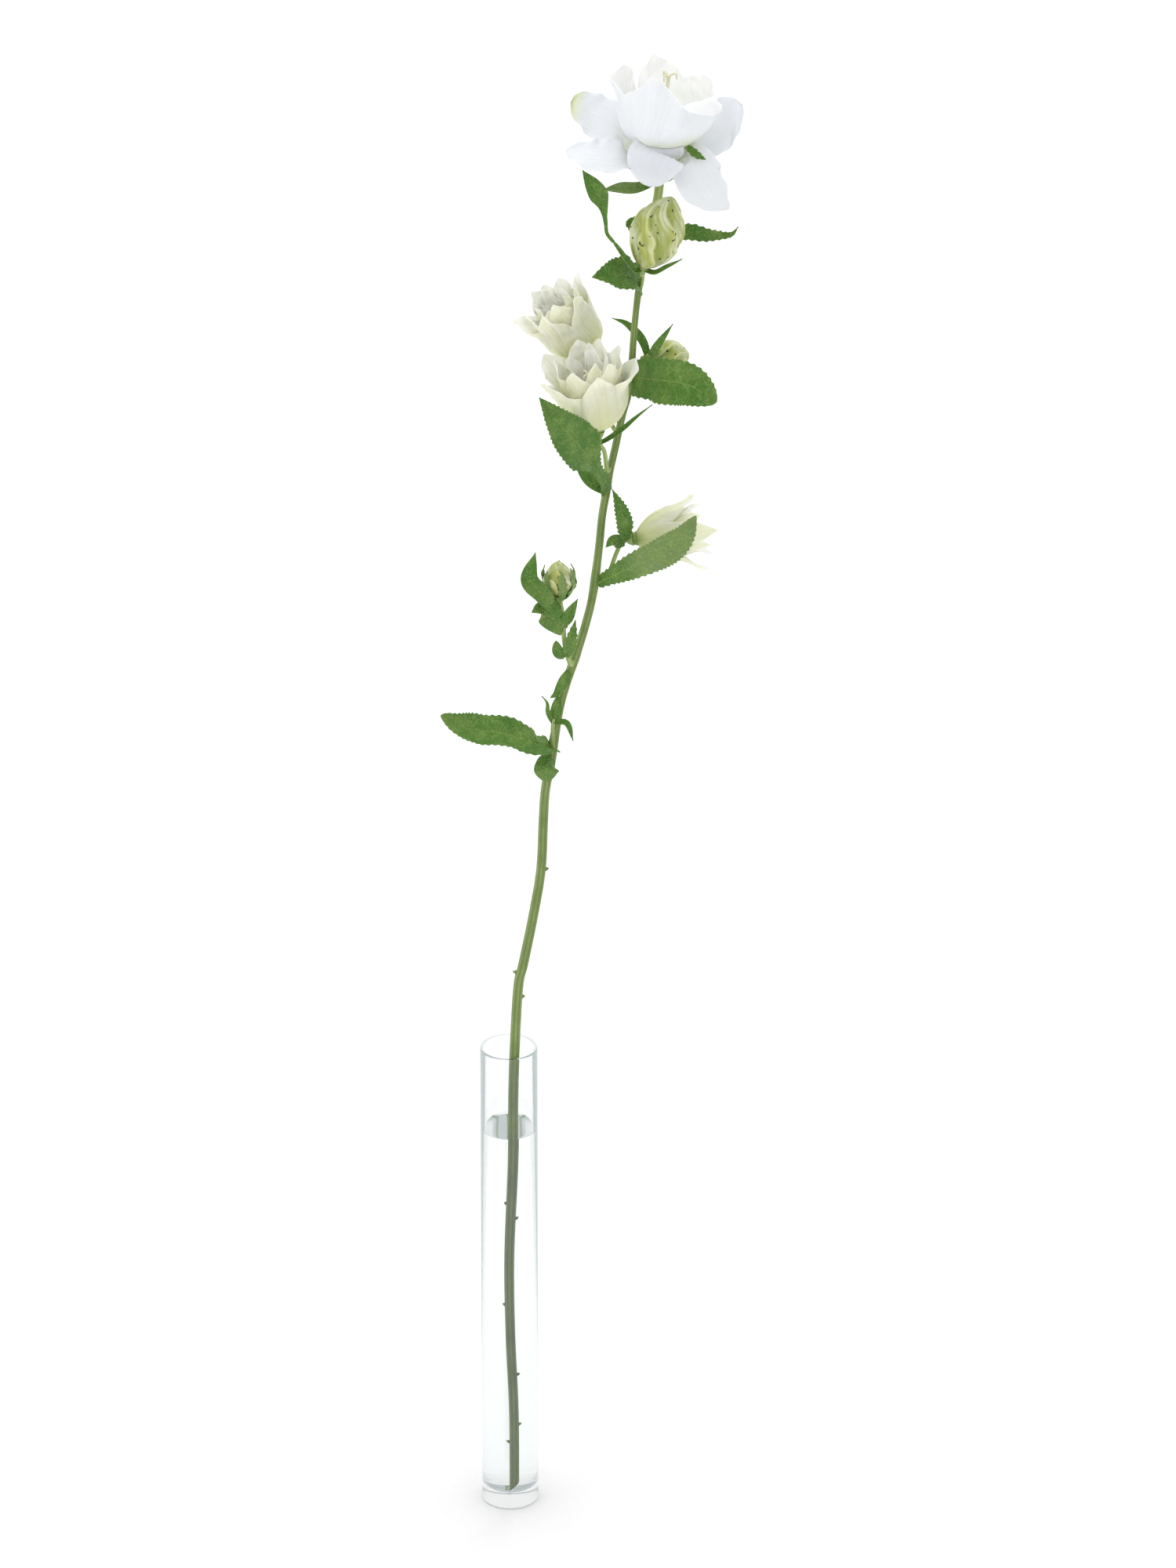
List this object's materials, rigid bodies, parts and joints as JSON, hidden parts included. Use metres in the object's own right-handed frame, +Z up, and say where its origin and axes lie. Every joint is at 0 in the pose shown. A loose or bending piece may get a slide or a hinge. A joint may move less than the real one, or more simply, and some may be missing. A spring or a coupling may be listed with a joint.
{
  "type": "bellflower in vase",
  "caption": "Cut stem of a double white bellflower with open and half-open bells, buds and toothed leaves, standing in a slim clear glass cylinder of water.",
  "frame": {"origin": "centre of the vase's flat underside", "axes": "+Z up along the vase's axis, +X to the side the stem leans to, -Y towards the side shown in the picture"},
  "size_m": [0.1742, 0.0933, 0.9234],
  "materials": {
    "glass": "clear, polished",
    "water": "clear water",
    "stem": "ribbed green stem with short hairs",
    "leaf": "matte leaf",
    "stalk": "hairy green",
    "petal_white": "matte petal",
    "petal_cream": "matte petal",
    "bud": "matte petal",
    "style": "matte"
  },
  "bodies": {
    "root": {"vase": "glass", "stem": "stem", "water": "water", "bloom_top_petals": "petal_white", "bloom_top_pistil": "style", "bloom_top_stalk": "stalk", "bloom_upper_left_petals": "petal_cream", "bloom_upper_left_pistil": "style", "bloom_upper_left_stalk": "stalk", "bloom_middle_petals": "petal_cream", "bloom_middle_pistil": "style", "bloom_middle_stalk": "stalk", "bloom_lower_right_petals": "petal_cream", "bloom_lower_right_pistil": "style", "bloom_lower_right_stalk": "stalk", "bud_top_petals": "bud", "bud_top_stalk": "stalk", "bud_right_petals": "bud", "bud_right_stalk": "stalk", "bud_left_petals": "bud", "side_branch": "leaf", "side_shoot": "leaf", "leaf_top_left": "leaf", "leaf_upper_right": "leaf", "leaf_middle_left": "leaf", "leaf_middle_small": "leaf", "leaf_lower_right": "leaf", "leaf_lower_left": "leaf", "leaf_clasping": "leaf", "leaf_side_bract": "leaf", "leaf_top_right": "leaf", "leaf_top_back": "leaf"}
  },
  "joints": []
}
